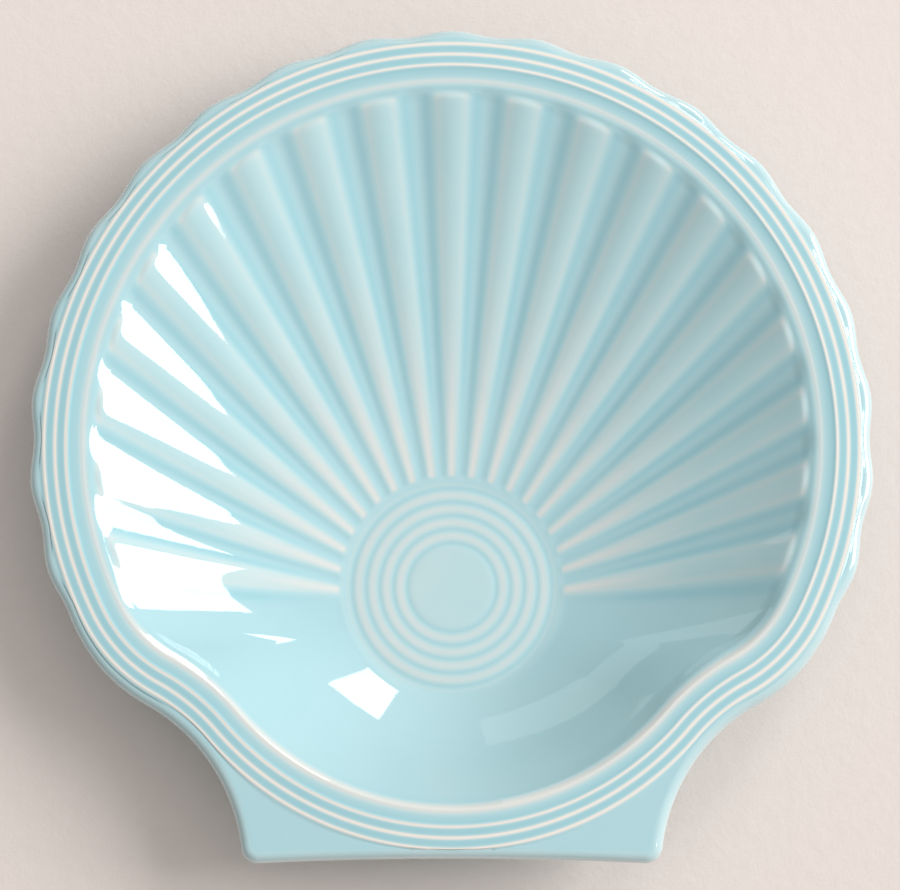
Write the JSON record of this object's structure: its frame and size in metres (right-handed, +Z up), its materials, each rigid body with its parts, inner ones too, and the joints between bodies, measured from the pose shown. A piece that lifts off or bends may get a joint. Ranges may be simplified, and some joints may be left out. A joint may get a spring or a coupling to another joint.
{
  "type": "shell plate",
  "caption": "Scallop-shell ceramic plate: ribs fan from a ringed disc to a grooved, scalloped rim with a flat tab; turquoise glaze over a clay body on a bare foot ring.",
  "frame": {"origin": "middle of the plate's box, on the plane that the foot ring stands on", "axes": "+Z up out of the well, +Y towards the fan of ribs, -Y towards the tab, +X to the right seen from the tab"},
  "size_m": [0.2324, 0.2328, 0.031],
  "materials": {
    "bare_clay": "matt, fired, unglazed",
    "turquoise_glaze": "glossy, paler over ridges"
  },
  "bodies": {
    "root": {"clay_body": "bare_clay", "glaze_coat": "turquoise_glaze", "foot_well_glaze": "turquoise_glaze"}
  },
  "joints": []
}
